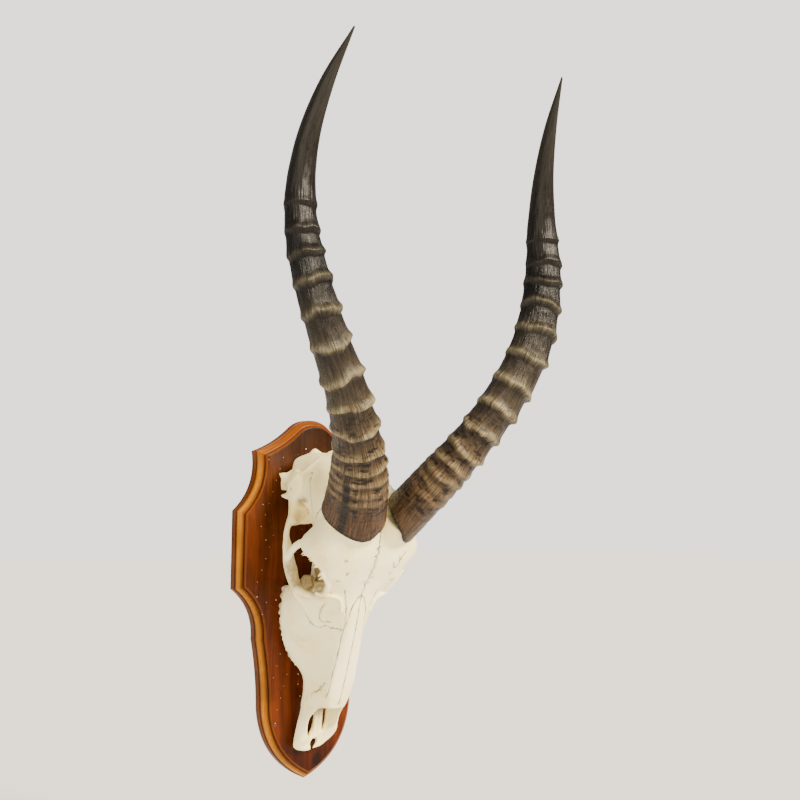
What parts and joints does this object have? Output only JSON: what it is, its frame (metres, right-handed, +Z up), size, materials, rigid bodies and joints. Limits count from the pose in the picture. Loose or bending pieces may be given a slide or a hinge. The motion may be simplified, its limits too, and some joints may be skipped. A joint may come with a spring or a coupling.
{
  "type": "blesbok skull mount",
  "caption": "Bleached antelope skull with ringed, outward-curving horns and cheek teeth, mounted nose down on a shield-shaped varnished pine plaque that hangs on a wall.",
  "frame": {"origin": "centre of the plaque's flat back, which lies against the wall, midway between its two straight sides and about midway up it", "axes": "+Y into the wall, out of the plaque's back; +Z up towards the horn tips; +X to the right of someone facing the mount"},
  "size_m": [0.306, 0.2727, 0.6929],
  "materials": {
    "varnished_pine": "gloss",
    "bleached_bone": "matte",
    "horn_keratin": "satin",
    "tooth_enamel": "satin"
  },
  "bodies": {
    "root": {"plaque": "varnished_pine", "skull": "bleached_bone", "horn_left": "horn_keratin", "horn_right": "horn_keratin", "premolar_2_left": "tooth_enamel", "premolar_3_left": "tooth_enamel", "premolar_4_left": "tooth_enamel", "molar_1_left": "tooth_enamel", "molar_2_left": "tooth_enamel", "molar_3_left": "tooth_enamel", "premolar_2_right": "tooth_enamel", "premolar_3_right": "tooth_enamel", "premolar_4_right": "tooth_enamel", "molar_1_right": "tooth_enamel", "molar_2_right": "tooth_enamel", "molar_3_right": "tooth_enamel"}
  },
  "joints": []
}
